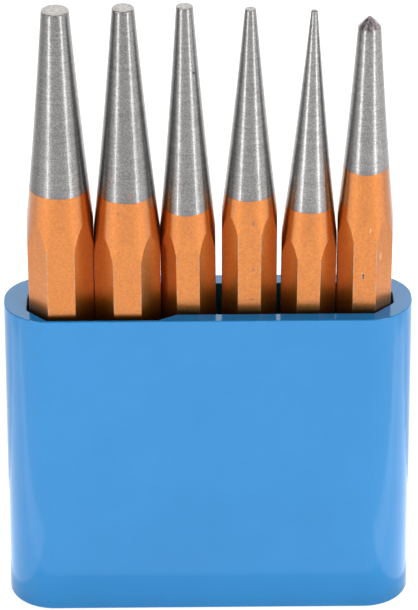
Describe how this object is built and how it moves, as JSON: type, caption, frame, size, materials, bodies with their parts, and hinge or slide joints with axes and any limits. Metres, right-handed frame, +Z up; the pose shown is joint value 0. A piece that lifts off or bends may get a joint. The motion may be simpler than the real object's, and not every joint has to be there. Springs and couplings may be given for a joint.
{
  "type": "drift and centre punch set in stand",
  "caption": "Tapered drift punches and a centre punch with octagonal lacquered shanks, standing point up in a moulded plastic stand.",
  "frame": {"origin": "middle of the stand's footprint, on the flat face it rests on", "axes": "+Z up along the punches, towards their tips; +X along the row, from the thickest punch to the centre punch; -Y is the front, where the slot steps forward for the thick shanks"},
  "size_m": [0.0768, 0.0188, 0.1227],
  "materials": {
    "stand_plastic": "smooth moulded, semi-gloss, mid blue",
    "shank_lacquer": "translucent orange lacquer over steel, worn thin along the bar's edges",
    "ground_steel": "bright ground steel with fine rings around the taper"
  },
  "bodies": {
    "stand": {"stand": "stand_plastic"},
    "punch_5mm": {"drift_punch_5mm": "shank_lacquer"},
    "punch_4mm": {"drift_punch_4mm": "shank_lacquer"},
    "punch_3mm": {"drift_punch_3mm": "shank_lacquer"},
    "punch_2mm": {"drift_punch_2mm": "shank_lacquer"},
    "punch_1mm": {"drift_punch_1mm": "shank_lacquer"},
    "centre_punch": {"centre_punch_4mm": "shank_lacquer"}
  },
  "joints": [
    {"name": "lift_punch_5mm", "type": "slide", "parent": "stand", "child": "punch_5mm", "axis": [0, 0, 1], "range_m": [0, 0.07]},
    {"name": "lift_punch_4mm", "type": "slide", "parent": "stand", "child": "punch_4mm", "axis": [0, 0, 1], "range_m": [0, 0.07]},
    {"name": "lift_punch_3mm", "type": "slide", "parent": "stand", "child": "punch_3mm", "axis": [0, 0, 1], "range_m": [0, 0.07]},
    {"name": "lift_punch_2mm", "type": "slide", "parent": "stand", "child": "punch_2mm", "axis": [0, 0, 1], "range_m": [0, 0.07]},
    {"name": "lift_punch_1mm", "type": "slide", "parent": "stand", "child": "punch_1mm", "axis": [0, 0, 1], "range_m": [0, 0.07]},
    {"name": "lift_centre_punch", "type": "slide", "parent": "stand", "child": "centre_punch", "axis": [0, 0, 1], "range_m": [0, 0.07]}
  ]
}
